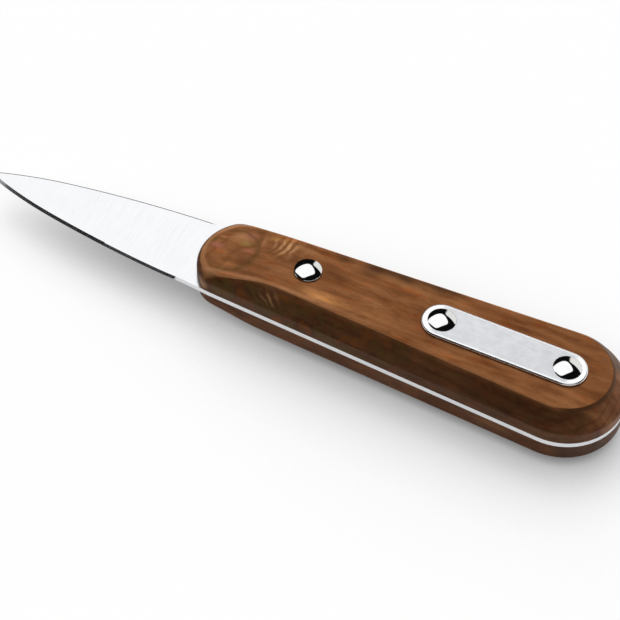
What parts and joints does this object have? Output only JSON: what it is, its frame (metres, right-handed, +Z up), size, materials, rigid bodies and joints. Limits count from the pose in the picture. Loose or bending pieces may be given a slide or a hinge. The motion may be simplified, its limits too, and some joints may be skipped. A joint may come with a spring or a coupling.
{
  "type": "oyster knife",
  "caption": "Oyster knife with a short pointed full-tang blade, two riveted walnut scales that fall away in a thumb ramp, and a bare metal plate let into the upper scale.",
  "frame": {"origin": "on the table under the middle of the knife, which lies on its side", "axes": "+X from the blade's tip to the butt, -Y the way the cutting edge faces, +Z up through the side with the plate"},
  "size_m": [0.171, 0.0304, 0.0198],
  "materials": {
    "blade_steel": "fine ground, satin",
    "walnut": "oiled, satin",
    "walnut_lower": "oiled, satin",
    "plate_steel": "satin",
    "rivet_steel": "mirror polished",
    "rivet_pin_steel": "polished"
  },
  "bodies": {
    "root": {"blade": "blade_steel", "top_scale": "walnut", "bottom_scale": "walnut_lower", "plate": "plate_steel", "rivet_1_head": "rivet_steel", "rivet_1_pin": "rivet_pin_steel", "rivet_2_head": "rivet_steel", "rivet_2_pin": "rivet_pin_steel", "rivet_3_head": "rivet_steel", "rivet_3_pin": "rivet_pin_steel"}
  },
  "joints": []
}
